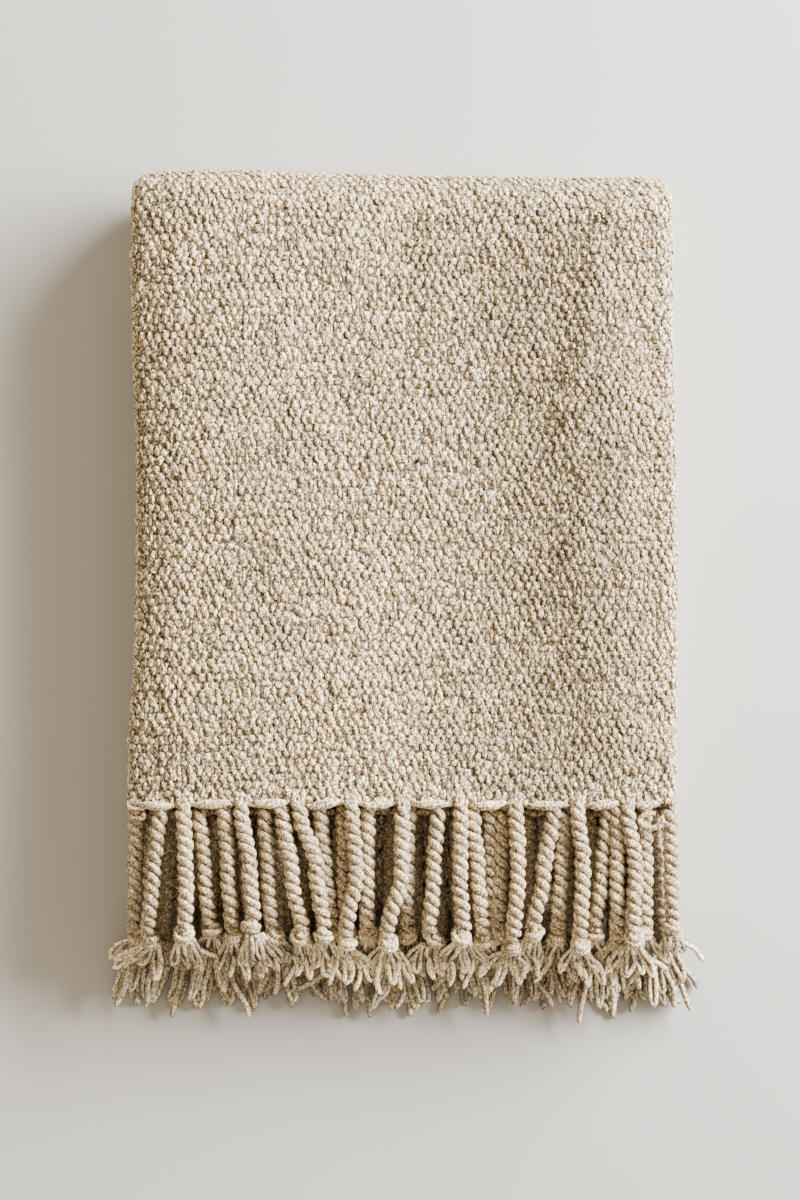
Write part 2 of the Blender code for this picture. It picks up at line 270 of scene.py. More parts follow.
class ChenilleWeaveSettings(bpy.types.PropertyGroup):
    column_pitch: FloatProperty(
        name="Warp pitch", description="From one warp yarn to the next", default=0.0025, unit="LENGTH"
    )
    row_pitch: FloatProperty(
        name="Weft pitch", description="From one weft yarn to the next", default=0.00465, unit="LENGTH"
    )
    float_width: FloatProperty(
        name="Float width", description="Width of a warp yarn where it floats", default=0.0040, unit="LENGTH"
    )
    float_length: FloatProperty(
        name="Float length", description="Length of a float over one weft yarn", default=0.0066, unit="LENGTH"
    )
    float_height: FloatProperty(
        name="Float height", description="Full thickness of a float", default=0.0022, unit="LENGTH"
    )
    unevenness: FloatProperty(
        name="Unevenness", description="Share by which floats differ", default=0.34, subtype="FACTOR"
    )
    seed: IntProperty(name="Seed", description="Fixes what is random", default=7)
    colour: FloatVectorProperty(
        name="Chenille", description="Colour of the pile",
        default=(0.700, 0.534, 0.325), size=3, subtype="COLOR",
    )
    # Painted highlight: the colour of glints painted on the pile's bright tips, also the tint of its sheen
    painted_highlight_colour: FloatVectorProperty(
        name="Glint", description="Colour of its bright tips",
        default=(1.0, 0.885, 0.62), size=3, subtype="COLOR",
    )
    # Painted shade: the dark colour painted between the yarns and in their grooves, where shade falls
    crevice_shade_colour: FloatVectorProperty(
        name="Groove", description="Colour between the yarns",
        default=(0.150, 0.098, 0.055), size=3, subtype="COLOR",
    )
    # Painted light: the tails' pile is a lighter copy of the chenille colour, standing in for the light that
    # falls on them
    tail_lit_colour: FloatVectorProperty(
        name="Tails", description="Colour of the loose yarns' pile",
        default=(0.930, 0.765, 0.530), size=3, subtype="COLOR",
    )


class ChenilleFringeSettings(bpy.types.PropertyGroup):
    lay: FloatProperty(
        name="Lay", description="Length of one turn of a rope's twist", default=0.0128, unit="LENGTH"
    )
    strand_radius: FloatProperty(
        name="Strand radius", description="Radius of each of a rope's two strands",
        default=0.00270, unit="LENGTH",
    )
    strand_offset: FloatProperty(
        name="Strand offset", description="From the rope's middle to a strand's",
        default=0.0024, unit="LENGTH",
    )
    flatness: FloatProperty(
        name="Flatness", description="Height of a lying rope over its width", default=0.86, subtype="FACTOR"
    )
    yarn_radius: FloatProperty(
        name="Yarn radius", description="Radius of one chenille yarn", default=0.00165, unit="LENGTH"
    )
    tail_length: FloatProperty(
        name="Tail length", description="Loose yarn past a knot", default=0.034, unit="LENGTH"
    )
    under_yarns: IntProperty(
        name="Under yarns", description="Yarns in each tail of the hidden rows", default=6
    )
    seed: IntProperty(name="Seed", description="Fixes what is random", default=11)


class ThrowStageSettings(bpy.types.PropertyGroup):
    floor: FloatVectorProperty(
        name="Floor", description="Colour of the surface",
        default=(0.648, 0.642, 0.623), size=3, subtype="COLOR",
    )
    sky: FloatVectorProperty(
        name="Fill", description="Colour of the light from all sides",
        default=(1.0, 0.838, 0.600), size=3, subtype="COLOR",
    )
    sky_strength: FloatProperty(name="Fill strength", description="Strength of that light", default=0.686)
    key: FloatVectorProperty(
        name="Key", description="Colour of the soft light at the right",
        default=(0.94, 0.935, 0.92), size=3, subtype="COLOR",
    )
    key_power: FloatProperty(
        name="Key power", description="Power of the soft light at the right",
        default=242.0, subtype="POWER",
    )
    key_width: FloatProperty(name="Key width", description="Width of that light", default=2.00, unit="LENGTH")
    key_height: FloatProperty(
        name="Key height", description="Height of that light", default=0.54, unit="LENGTH"
    )


def smooth(t):
    t = min(max(t, 0.0), 1.0)
    return t * t * (3 - 2 * t)


def mixed(first, second, share):
    return first + (second - first) * share


def straight(start, end):
    return {"start": Vector(start), "end": Vector(end)}


def bend(centre, radius, first, last):
    return {
        "centre": Vector(centre),
        "radius": radius,
        "first": math.radians(first),
        "last": math.radians(last),
    }


def side_of(piece):
    """Which way a bend's left-hand normal points: 1 outwards, -1 towards its centre."""
    return -1 if piece["last"] > piece["first"] else 1


def piece_length(piece, offset):
    """Length of the curve beside this piece, at an offset to its left."""
    if "start" in piece:
        return (piece["end"] - piece["start"]).length
    return abs(piece["last"] - piece["first"]) * (piece["radius"] + side_of(piece) * offset)


def piece_station(piece, share):
    """(point, left-hand normal) at this share of a piece."""
    if "start" in piece:
        along = (piece["end"] - piece["start"]).normalized()
        return piece["start"].lerp(piece["end"], share), Vector((-along.y, along.x))
    angle = mixed(piece["first"], piece["last"], share)
    out = Vector((math.cos(angle), math.sin(angle)))
    return piece["centre"] + out * piece["radius"], out * side_of(piece)


class Track:
    """A flat path of runs and bends, read by the distance along a curve beside it."""

    def __init__(self, pieces, offset):
        self.pieces = pieces
        self.lengths = [piece_length(piece, offset) for piece in pieces]

    def start_of(self, index):
        return sum(self.lengths[:index])

    def station(self, distance):
        for piece, length in zip(self.pieces, self.lengths):
            if distance <= length or piece is self.pieces[-1]:
                return piece_station(piece, distance / length)
            distance -= length


def pack_height(pack):
    return PACK / 2 + pack * PACK_PITCH


def ply_height(pack, ply):
    """The middle of a ply of a pack. Ply 0 is its top one."""
    return pack_height(pack) + (1.5 - ply) * PLY_PITCH


def ply_pieces():
    """The cloth's middle line across its width, as (x, height in the pack): four plies."""
    half, top, inner = WIDTH / 2, 1.5 * PLY_PITCH, 0.5 * PLY_PITCH
    fold_x = half - top - PLY / 2
    left_x = -half + LEFT_SETBACK + inner + PLY / 2
    lip_x = -half + LIP_RADIUS * math.sin(math.radians(LIP_DEGREES)) + PLY / 2
    return (
        bend((lip_x, top - LIP_RADIUS), LIP_RADIUS, 90 + LIP_DEGREES, 90),
        straight((lip_x, top), (fold_x, top)),
        bend((fold_x, 0), top, 90, -90),
        straight((fold_x, -top), (left_x, -top)),
        bend((left_x, -PLY_PITCH), inner, -90, -270),
        straight((left_x, -inner), (fold_x, -inner)),
        bend((fold_x, 0), inner, -90, 90),
        straight((fold_x, inner), (-half + LEFT_SETBACK, inner)),
    )


def pack_pieces():
    """The pack's middle line along the throw, as (y, z), from the top hem to the under hem."""
    outer, inner = 1.5 * PACK_PITCH, 0.5 * PACK_PITCH
    back_y = BACK_EDGE_Y - outer - PACK / 2
    front_y = FRONT_FOLD_Y + inner + PACK / 2
    low, second, third, high = (pack_height(pack) for pack in range(4))
    return (
        straight((TOP_HEM_Y, high), (back_y, high)),
        bend((back_y, pack_height(1.5)), outer, 90, -90),
        straight((back_y, low), (front_y, low)),
        bend((front_y, pack_height(0.5)), inner, -90, -270),
        straight((front_y, second), (back_y, second)),
        bend((back_y, pack_height(1.5)), inner, -90, 90),
        straight((back_y, third), (UNDER_HEM_Y, third)),
    )


ACROSS = Track(ply_pieces(), PLY / 2)
ALONG = Track(pack_pieces(), PACK / 2)


def crease_height(x, y):
    height = 0.0
    for start_x, start_y, end_x, end_y, half_width, rise in CREASES:
        start, end, here = Vector((start_x, start_y)), Vector((end_x, end_y)), Vector((x, y))
        line = end - start
        share = min(max((here - start).dot(line) / line.length_squared, 0.0), 1.0)
        away = (here - start - line * share).length / half_width
        height += rise * math.exp(-away * away)
    return height


def painted_light_share(place):
    """How much painted light, or painted shade where it is negative, the pile gets here, as a share of a
    yarn's tone.
    """
    share = 0.0
    if place.z > STACK - CREASE_DEPTH:
        for x, y, half_width, half_length, tone in PAINTED_LIGHT_PATCHES:
            away = ((place.x - x) / half_width) ** 2 + ((place.y - y) / half_length) ** 2
            share += tone * math.exp(-away)
    # painted light on the front fold under the ropes
    elif place.y < UNDER_HEM_Y and abs(place.x) < ROPE_REACH_X:
        share = FRONT_PAINTED_LIGHT
    return share


def outline_shift(x, y):
    """How far the outline's small bulges and hollows move a place, across and along."""
    middle, half_width, further = BACK_BULGE
    back = BACK_STANDS + further * math.exp(-(((x - middle) / half_width) ** 2))
    beyond = (abs(x) - (WIDTH / 2 - CORNER_REACH)) / CORNER_REACH
    back -= CORNER_DROPS[x > 0] * min(max(beyond, 0.0), 1.1) ** 2
    middle, half_length, drawn_in = LEFT_HOLLOW
    left = drawn_in * math.exp(-(((y - middle) / half_length) ** 2))
    left -= LEFT_FLARE * smooth((-0.005 - y) / 0.090) * smooth((y + 0.230) / 0.025)
    return left * smooth(1 - (x + WIDTH / 2) / 0.060), back * smooth((y - 0.160) / 0.080)


def settle(point):
    """Moves a point of the even, folded throw to where it lies. The floor stays flat."""
    x, y, z = point
    rise = z / STACK
    ridges = math.cos(RIDGE_WAVE * (x - LEFT_RIDGE_X)) * (1 + 0.3 * math.sin(LONG_WAVE * y))
    droop = LEFT_DROOP * smooth(1 - (x + WIDTH / 2) / DROOP_REACH) * smooth(rise)
    side = SIDE_WAVER * math.sin(LONG_WAVE * y + 2 * rise)
    edge = EDGE_WAVER * math.sin(RIDGE_WAVE * x + 3 * rise) - BACK_SKEW * x * smooth(y / BACK_EDGE_Y)
    across, along = outline_shift(x, y)
    high = z * (1 + TOP_RELIEF * ridges - droop)
    return Vector((x + side * rise + across, y + edge * rise + along, high))


def lay(point):
    """Settles a point, and creases it if it is near the top."""
    settled = settle(point)
    depth = smooth(1 - (STACK - point[2]) / CREASE_DEPTH)
    if depth > 0:
        settled.z += crease_height(settled.x, settled.y) * depth
    return settled


def folded(across, along, offset):
    """The place of a station across and a station along, this far above the middle of its ply."""
    (point, normal), (spot, out) = across, along
    x, high = point.x + normal.x * offset, point.y + normal.y * offset
    return lay((x, spot.x + out.x * high, spot.y + out.y * high))


def on_cloth(u, v, offset=PLY / 2):
    return folded(ACROSS.station(u), ALONG.station(v), offset)


def cloth_frame(u, v):
    """(place, direction along the warp, direction out of the cloth) at a place of the sheet."""
    reach = 0.0012
    along = on_cloth(u, v + reach) - on_cloth(u, v - reach)
    across = on_cloth(u + reach, v) - on_cloth(u - reach, v)
    return on_cloth(u, v), along.normalized(), across.cross(along).normalized()


def drape(distance, level, hem_y):
    """(y, z, downward angle) of a rope this far from its hem: level, over the front fold, level again."""
    fold_y = FRONT_FOLD_Y + 0.5 * PACK_PITCH + PACK / 2
    fold_z = pack_height(0.5)
    lowest_radius = LOWEST_ROPE_Z - fold_z
    radius = lowest_radius + level * ROPE_LEVEL_PITCH
    turn = TAIL_BEND_RADIUS - level * ROPE_LEVEL_PITCH
    reach = lowest_radius + TAIL_BEND_RADIUS
    angle = math.acos((TAIL_BEND_RADIUS - fold_z + TAIL_HALF_THICKNESS) / reach)
    over_pack = hem_y - fold_y
    if distance < over_pack:
        return hem_y - distance, fold_z + radius, 0.0
    distance -= over_pack
    if distance < radius * angle:
        at = distance / radius
        return fold_y - radius * math.sin(at), fold_z + radius * math.cos(at), at
    distance -= radius * angle
    bend_y = fold_y - reach * math.sin(angle)
    bend_z = fold_z + reach * math.cos(angle)
    if distance < turn * angle:
        at = angle - distance / turn
        return bend_y + turn * math.sin(at), bend_z - turn * math.cos(at), at
    distance -= turn * angle
    return bend_y - distance, bend_z - turn, 0.0


class Rope:
    """One rope: its hem, its level in the fringe, and its way from root to knot."""

    def __init__(self, hem_y, level, root_z, xs, knot_at, yarns):
        self.hem_y = hem_y
        self.level = level
        self.root_z = root_z
        self.root_x, self.middle_x, self.knot_x = xs
        self.knot_at = knot_at
        self.yarns = yarns

    def place(self, distance, aside=0.0, above=0.0):
        """A point on the rope, or beside it and above it, where it has settled."""
        bend_share, knee_share = smooth(distance / MIDDLE_AT), smooth(distance / MIDDLE_AT - 1)
        x = self.root_x + (self.middle_x - self.root_x) * bend_share
        x += (self.knot_x - self.middle_x) * knee_share + aside
        y, z, angle = drape(max(distance, 0.0), self.level, self.hem_y)
        y -= min(distance, 0.0)
        level_z = drape(0.0, self.level, self.hem_y)[1]
        z += (self.root_z - level_z) * (1 - smooth(distance / ROOT_REACH))
        y -= above * math.sin(angle)
        z += above * math.cos(angle)
        return settle((x, y, z))


def top_ropes():
    ropes = []
    for *xs, knot_at, yarns in TOP_ROPES:
        ropes.append(Rope(TOP_HEM_Y, TOP_LEVEL, ply_height(3, 0), xs, knot_at, yarns))
    for i, (root_x, knot_x, knot_at, share) in enumerate(SECOND_ROPES):
        xs = (root_x, (root_x + knot_x) / 2, knot_x)
        level, root_z = SECOND_LEVEL + share, ply_height(3, 1 + i % 3)
        ropes.append(Rope(TOP_HEM_Y, level, root_z, xs, knot_at, SECOND_YARNS))
    return ropes


def under_ropes(yarns):
    ropes = []
    for level, count in UNDER_ROWS:
        for i in range(count):
            root_x = ROPE_REACH_X * (2 * i / (count - 1) - 1)
            knot_x = root_x * SIDE_SPREAD + UNDER_SWAY * math.sin(UNDER_WAVE * root_x)
            xs = (root_x, (root_x + knot_x) / 2, knot_x)
            root_z = ply_height(2, 0 if level else 1 + i % 3)
            knot_at = UNDER_KNOT_AT + UNDER_UNEVEN * math.cos(UNDER_WAVE * root_x)
            ropes.append(Rope(UNDER_HEM_Y, level, root_z, xs, knot_at, yarns))
    return ropes


def put(tree, kind, inputs=(), **settings):
    """Adds a node, with its settings, and its inputs set or linked."""
    made = tree.nodes.new(kind)
    for name, value in settings.items():
        setattr(made, name, value)
    for key, value in dict(inputs).items():
        if isinstance(value, bpy.types.NodeSocket):
            tree.links.new(value, made.inputs[key])
        else:
            made.inputs[key].default_value = value
    return made


def maths(tree, operation, first, *others):
    """One number worked out from others, from the left."""
    for other in others or (0.0,):
        first = put(tree, "ShaderNodeMath", {0: first, 1: other}, operation=operation).outputs[0]
    return first


def vector_maths(tree, operation, first, second=None, scale=None):
    inputs = {0: first, 1: second, "Scale": scale}
    inputs = {key: value for key, value in inputs.items() if value is not None}
    made = put(tree, "ShaderNodeVectorMath", inputs, operation=operation)
    return made.outputs["Value" if operation == "DISTANCE" else "Vector"]


def ranged(tree, value, low, high, new_low=0.0, new_high=1.0):
    limits = {"From Min": low, "From Max": high, "To Min": new_low, "To Max": new_high}
    return put(tree, "ShaderNodeMapRange", {"Value": value, **limits}).outputs[0]


def new_group(name, kind, inputs, outputs):
    """A node group, with the sockets that bring its inputs and those that take its outputs."""
    tree = bpy.data.node_groups.new(name, kind)
    for way, labels in (("INPUT", inputs), ("OUTPUT", outputs)):
        for label in labels:
            socket = "NodeSocket" + SOCKET_KINDS.get(label, "Float")
            tree.interface.new_socket(label, in_out=way, socket_type=socket)
    return tree, tree.nodes.new("NodeGroupInput").outputs, tree.nodes.new("NodeGroupOutput").inputs


def pile_tree(name, inputs):
    """A Geometry Nodes tree for something with a pile."""
    inputs = ("Geometry", *inputs, "Pile Scale", "Pile Depth", "Material")
    return new_group(name, "GeometryNodeTree", inputs, ("Geometry",))


def passed(tree, geometry, kind, inputs=(), **settings):
    """What a geometry node makes of the geometry that goes into it."""
    return put(tree, "GeometryNode" + kind, {0: geometry, **dict(inputs)}, **settings).outputs[0]


def reading(tree, what):
    return tree.nodes.new("GeometryNodeInput" + what).outputs[0]


def named(tree, name, kind="FLOAT"):
    return put(tree, "GeometryNodeInputNamedAttribute", {"Name": name}, data_type=kind).outputs[0]


def stored(tree, geometry, name, value, kind="FLOAT", domain="POINT"):
    inputs = {"Name": name, "Value": value}
    return passed(tree, geometry, "StoreNamedAttribute", inputs, data_type=kind, domain=domain)


def random_value(tree, low, high, seed):
    """A random number for each element, the same on every run."""
    inputs = {2: low, 3: high, "Seed": seed}
    return put(tree, "FunctionNodeRandomValue", inputs, data_type="FLOAT").outputs[1]


def finish_tree(tree, given, out, geometry):
    """Roughens the pile, keeps it over the floor, shades it smooth and gives it its material."""
    noise = put(tree, "ShaderNodeTexNoise", {"Scale": given["Pile Scale"], "Detail": 1.0}).outputs[0]
    depth = maths(tree, "MULTIPLY", maths(tree, "SUBTRACT", noise, 0.5), given["Pile Depth"])
    push = vector_maths(tree, "SCALE", reading(tree, "Normal"), scale=depth)
    ruffled = passed(tree, geometry, "SetPosition", {"Offset": push})
    place = put(tree, "ShaderNodeSeparateXYZ", {0: reading(tree, "Position")}).outputs
    high = maths(tree, "MAXIMUM", place[2], LOWEST_PILE)
    kept = put(tree, "ShaderNodeCombineXYZ", {0: place[0], 1: place[1], 2: high}).outputs[0]
    resting = passed(tree, ruffled, "SetPosition", {"Position": kept})
    real = passed(tree, passed(tree, resting, "SetShadeSmooth"), "RealizeInstances")
    covered = passed(tree, real, "SetMaterial", {"Material": given["Material"]})
    tree.links.new(covered, out["Geometry"])


def float_tree():
    """Puts an oval warp float on each point, turned to the cloth, and realizes them."""
    tree, given, out = pile_tree("Warp floats", ("Size", "Unevenness", "Seed"))
    oval = put(tree, "GeometryNodeMeshUVSphere", {"Segments": 6, "Rings": 4, "Radius": 0.5}).outputs[0]
    height = put(tree, "ShaderNodeSeparateXYZ", {0: reading(tree, "Position")}).outputs[2]
    # The crown is the height on the oval: its lower rim is painted towards the groove colour, painted shade
    # between the floats
    crowned = stored(tree, oval, "crown", maths(tree, "ADD", height, 0.5))
    axes = {0: named(tree, "out", "FLOAT_VECTOR"), 1: named(tree, "warp", "FLOAT_VECTOR")}
    turned = put(tree, "FunctionNodeAxesToRotation", axes, primary_axis="Z", secondary_axis="Y")
    least, most = (maths(tree, way, 1.0, given["Unevenness"]) for way in ("SUBTRACT", "ADD"))
    seeds = [maths(tree, "ADD", given["Seed"], float(draw)) for draw in range(4)]
    sizes = {side: random_value(tree, least, most, seeds[side]) for side in range(3)}
    instances = {
        "Instance": passed(tree, crowned, "Transform", {"Scale": given["Size"]}),
        "Rotation": turned.outputs[0],
        "Scale": put(tree, "ShaderNodeCombineXYZ", sizes).outputs[0],
    }
    placed = passed(tree, given["Geometry"], "InstanceOnPoints", instances)
    # Each float's tone: a random part, plus the painted light and shade of its place
    tone = maths(tree, "ADD", random_value(tree, -0.2, 1.2, seeds[3]), named(tree, "painted_light_share"))
    toned = stored(tree, placed, "tone", tone, domain="INSTANCE")
    finish_tree(tree, given, out, passed(tree, toned, "RealizeInstances"))
    return tree


def even_curves(tree, given):
    """Each strip of edges as a smooth curve with even steps."""
    curve = passed(tree, given["Geometry"], "MeshToCurve")
    rounded = passed(tree, curve, "CurveSplineType", spline_type="CATMULL_ROM")
    return passed(tree, rounded, "ResampleCurve", {"Length": given["Step"]}, mode="LENGTH")


def finish_tubes(tree, given, out, curves, radius, crown):
    """Closed tubes, thick as the curves' points say, with painted shade on their sides, where they turn to
    their neighbours.
    """
    ring = put(tree, "GeometryNodeCurvePrimitiveCircle", {"Resolution": given["Sides"], "Radius": 1.0})
    thick = maths(tree, "MULTIPLY", named(tree, "thick"), radius)
    inputs = {"Profile Curve": ring.outputs[0], "Scale": thick, "Fill Caps": True}
    tubes = passed(tree, curves, "CurveToMesh", inputs)
    up = put(tree, "ShaderNodeSeparateXYZ", {0: reading(tree, "Normal")}).outputs[2]
    shaded = maths(tree, "MULTIPLY", ranged(tree, up, 0.05, 0.90, 1.0, 0.0), given["Side Shade"])
    lit = maths(tree, "MULTIPLY", crown, maths(tree, "SUBTRACT", 1.0, shaded))
    finish_tree(tree, given, out, stored(tree, tubes, "crown", lit))


def yarn_tree():
    """Makes a closed, fuzzy tube along each strip of edges."""
    tree, given, out = pile_tree("Chenille yarn", ("Radius", "Sides", "Step", "Side Shade"))
    finish_tubes(tree, given, out, even_curves(tree, given), given["Radius"], named(tree, "crown"))
    return tree


def rope_tree():
    """Twists two strands round each rope's middle line, and notes how far out each point lies."""
    tree, given, out = pile_tree(
        "Twisted rope",
        ("Lay", "Strand Radius", "Strand Offset", "Flatness", "Sides", "Step", "Side Shade"),
    )
    place = reading(tree, "Position")
    centred = stored(tree, even_curves(tree, given), "axis", place, "FLOAT_VECTOR")
    tangent = reading(tree, "Tangent")
    sideways = vector_maths(tree, "NORMALIZE", vector_maths(tree, "CROSS_PRODUCT", tangent, (0, 0, 1)))
    upwards = vector_maths(tree, "CROSS_PRODUCT", sideways, tangent)
    length = tree.nodes.new("GeometryNodeSplineParameter").outputs["Length"]
    turns = maths(tree, "ADD", maths(tree, "DIVIDE", length, given["Lay"]), named(tree, "phase"))
    both = tree.nodes.new("GeometryNodeJoinGeometry")
    for half in (0.0, 0.5):
        angle = maths(tree, "MULTIPLY", maths(tree, "ADD", turns, half), math.tau)
        aside = maths(tree, "MULTIPLY", maths(tree, "COSINE", angle), given["Strand Offset"])
        over = maths(tree, "MULTIPLY", maths(tree, "SINE", angle), given["Strand Offset"], given["Flatness"])
        pushes = [
            vector_maths(tree, "SCALE", way, scale=push) for way, push in ((sideways, aside), (upwards, over))
        ]
        strand = passed(tree, centred, "SetPosition", {"Offset": vector_maths(tree, "ADD", *pushes)})
        tree.links.new(strand, both.inputs[0])
    reach = maths(tree, "ADD", given["Strand Radius"], given["Strand Offset"])
    away = vector_maths(tree, "DISTANCE", place, named(tree, "axis", "FLOAT_VECTOR"))
    # How far out a point lies sets its crown: the grooves between the strands get painted shade
    crown = maths(tree, "DIVIDE", away, reach)
    finish_tubes(tree, given, out, both.outputs[0], given["Strand Radius"], crown)
    return tree


def given_to_cloth(piece):
    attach(piece, "root")


def socket_name(tree, label):
    for item in tree.interface.items_tree:
        if item.name == label and item.in_out == "INPUT":
            return item.identifier
    raise ValueError(f"{tree.name} has no input {label}")


def grown(name, source, tree, values):
    """A plain mesh piece of the cloth, made by running a tree on a source mesh."""
    carrier = bpy.data.objects.new(name + "_source", source)
    bpy.context.scene.collection.objects.link(carrier)
    modifier = carrier.modifiers.new(tree.name, "NODES")
    modifier.node_group = tree
    for label, value in values.items():
        modifier[socket_name(tree, label)] = value
    bpy.context.view_layer.update()
    graph = bpy.context.evaluated_depsgraph_get()
    mesh = bpy.data.meshes.new_from_object(carrier.evaluated_get(graph))
    bpy.data.objects.remove(carrier)
    bpy.data.meshes.remove(source)
    mesh.name = name
    piece = bpy.data.objects.new(name, mesh)
    bpy.context.scene.collection.objects.link(piece)
    if not mesh.polygons:
        raise ValueError(f"{name} came out empty")
    given_to_cloth(piece)
    return piece


def strips(name, lines):
    """A mesh of edge strips. Each line is a list of points and a dict of values for all or each of them."""
    mesh = bpy.data.meshes.new(name)
    points, edges, values = [], [], {"thick": [], "tone": [], "crown": [], "phase": []}
    for line, facts in lines:
        first = len(points)
        points += [tuple(point) for point in line]
        edges += [(first + i, first + i + 1) for i in range(len(line) - 1)]
        for key, store in values.items():
            value = facts.get(key, 1.0 if key in ("thick", "crown") else 0.5)
            store += value if isinstance(value, list) else [value] * len(line)
    mesh.from_pydata(points, edges, [])
    for key, store in values.items():
        mesh.attributes.new(key, "FLOAT", "POINT").data.foreach_set("value", store)
    return mesh


def noise_factor(tree, where, scale, detail, roughness=0.6):
    inputs = {"Vector": where, "Scale": scale, "Detail": detail, "Roughness": roughness}
    return put(tree, "ShaderNodeTexNoise", inputs).outputs[0]


def colour_mix(tree, factor, first, second):
    return put(tree, "ShaderNodeMix", {0: factor, 6: first, 7: second}, data_type="RGBA").outputs[2]


def pile_group():
    """Shader group: the colour, roughness and height of chenille pile, with painted glints and sparkles, and
    painted shade in its grooves.
    """
    tree, given, out = new_group(
        "Chenille pile",
        "ShaderNodeTree",
        ("Vector", "Pile", "Glint", "Groove", "Crown", "Tone", "Speckle", "Tufting"),
        ("Color", "Roughness", "Height"),
    )
    where, speckle = given["Vector"], given["Speckle"]
    fine = noise_factor(tree, vector_maths(tree, "MULTIPLY", where, (1.0, 0.62, 1.0)), 900.0, 2.0, 0.85)
    tufts = noise_factor(tree, where, 560.0, 2.0)
    broad = noise_factor(tree, where, 75.0, 2.0)
    tufting = maths(tree, "MULTIPLY", ranged(tree, tufts, 0.3, 0.7, -1.0, 1.0), given["Tufting"])
    level = maths(tree, "ADD", given["Crown"], tufting)
    # Painted shade: where the crown is low, the pile is painted in the groove colour
    lit = colour_mix(tree, ranged(tree, level, 0.36, 0.72), given["Groove"], given["Pile"])
    # Painted highlight: glints painted on the pile's bright tips
    painted_highlight_mask = maths(
        tree, "MULTIPLY", ranged(tree, fine, 0.53, 0.59), ranged(tree, level, 0.45, 0.72), speckle
    )
    shining = colour_mix(tree, painted_highlight_mask, lit, given["Glint"])
    # The tone, random in part and painted light and shade in part, brightens or darkens the pile
    tone_and_painted_light = ranged(tree, given["Tone"], -1.0, 2.0, -0.51, 0.51)
    shade = maths(tree, "ADD", tone_and_painted_light, ranged(tree, broad, 0.3, 0.7, 0.93, 1.07))
    # Dark specks of grain, and rare bright sparkles that are painted highlights
    dips, painted_sparkle = ranged(tree, fine, 0.42, 0.54, -0.85, 0.20), ranged(tree, fine, 0.55, 0.65, 0.0, 0.5)
    grain_and_painted_sparkle = maths(tree, "MULTIPLY", maths(tree, "ADD", dips, painted_sparkle), speckle)
    specks = maths(tree, "MULTIPLY", shade, maths(tree, "ADD", grain_and_painted_sparkle, 1.0))
    tree.links.new(vector_maths(tree, "SCALE", shining, scale=specks), out["Color"])
    tree.links.new(ranged(tree, fine, 0.35, 0.7, 0.85, 0.5), out["Roughness"])
    tree.links.new(maths(tree, "ADD", fine, maths(tree, "MULTIPLY", tufts, 0.8)), out["Height"])


def lattice_group():
    """Shader group: how high the weft floats between the warp floats, from the sheet's UV map in metres."""
    tree, given, out = new_group(
        "Weave lattice", "ShaderNodeTree", ("Vector", "Column Pitch", "Row Pitch"), ("Height",)
    )
    place = put(tree, "ShaderNodeSeparateXYZ", {0: given["Vector"]}).outputs
    columns = maths(tree, "DIVIDE", place[0], given["Column Pitch"])
    rows = maths(tree, "DIVIDE", place[1], given["Row Pitch"])
    heights = []
    for shift in (0.0, 1.0):
        squares = []
        for count, start, narrow in ((columns, shift - 0.5, 1.25), (rows, 0.5 - shift, 1.2)):
            away = maths(tree, "PINGPONG", maths(tree, "ADD", count, start), 1.0)
            squares.append(maths(tree, "POWER", maths(tree, "MULTIPLY", away, narrow), 2.0))
        heights.append(ranged(tree, maths(tree, "ADD", *squares), 1.0, 0.0))
    tree.links.new(maths(tree, "MAXIMUM", *heights), out["Height"])


def woven_height(tree):
    """How high the weft floats at a place of the ground sheet."""
    settings = bpy.context.scene.chenille_weave
    inputs = {
        "Vector": put(tree, "ShaderNodeUVMap", uv_map="sheet").outputs[0],
        "Column Pitch": settings.column_pitch,
        "Row Pitch": settings.row_pitch,
    }
    lattice = put(tree, "ShaderNodeGroup", inputs, node_tree=bpy.data.node_groups["Weave lattice"])
    return lattice.outputs["Height"]


def chenille(name, colours, speckle, tufting, woven=False):
    """A chenille finish in the colours of its pile, glints and grooves, woven or by the yarn."""
    made = bpy.data.materials.new(name)
    made.use_nodes = True
    tree = made.node_tree
    inputs = {"Speckle": speckle, "Tufting": tufting}
    inputs["Vector"] = tree.nodes.new("ShaderNodeTexCoord").outputs["Object"]
    for label, colour in zip(("Pile", "Glint", "Groove"), colours):
        inputs[label] = (*colour, 1.0)
    if woven:
        # The ground's low places between the weft floats are painted in the groove colour: painted shade
        inputs |= {"Crown": woven_height(tree), "Tone": 0.0}
    else:
        for label in ("crown", "tone"):
            inputs[label.title()] = put(tree, "ShaderNodeAttribute", attribute_name=label).outputs["Fac"]
    pile = put(tree, "ShaderNodeGroup", inputs, node_tree=bpy.data.node_groups["Chenille pile"]).outputs
    bump = put(tree, "ShaderNodeBump", {"Height": pile["Height"], "Strength": 1.0, "Distance": 0.0006})
    shader = tree.nodes["Principled BSDF"].inputs
    tree.links.new(pile["Color"], shader["Base Color"])
    tree.links.new(pile["Roughness"], shader["Roughness"])
    tree.links.new(bump.outputs[0], shader["Normal"])
    even = {"Metallic": 0.0, "Specular IOR Level": 0.3, "Sheen Weight": 0.18, "Sheen Roughness": 0.45}
    for label, value in even.items():
        shader[label].default_value = value
    shader["Sheen Tint"].default_value = (*colours[1], 1.0)


